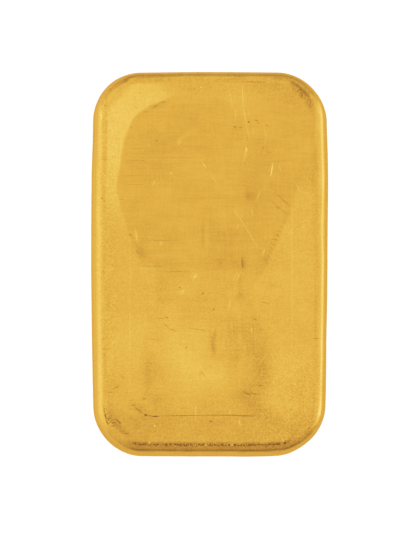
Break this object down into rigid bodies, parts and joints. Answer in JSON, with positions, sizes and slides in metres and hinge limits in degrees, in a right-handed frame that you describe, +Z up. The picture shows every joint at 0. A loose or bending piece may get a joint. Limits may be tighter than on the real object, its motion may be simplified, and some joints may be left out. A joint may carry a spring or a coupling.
{
  "type": "gold ingot",
  "caption": "Small cast gold bar: one flat poured block with rounded corners, drafted walls and a plain worn face, for stacking, storing and remelting.",
  "frame": {"origin": "centre of the larger face, on which the bar lies", "axes": "+X across the width, +Y along the length, +Z up, out of the smaller face"},
  "size_m": [0.0276, 0.045, 0.0051],
  "materials": {
    "gold": "as-cast gold, satin, worn and lightly soiled at the edges"
  },
  "bodies": {
    "root": {"ingot": "gold"}
  },
  "joints": []
}
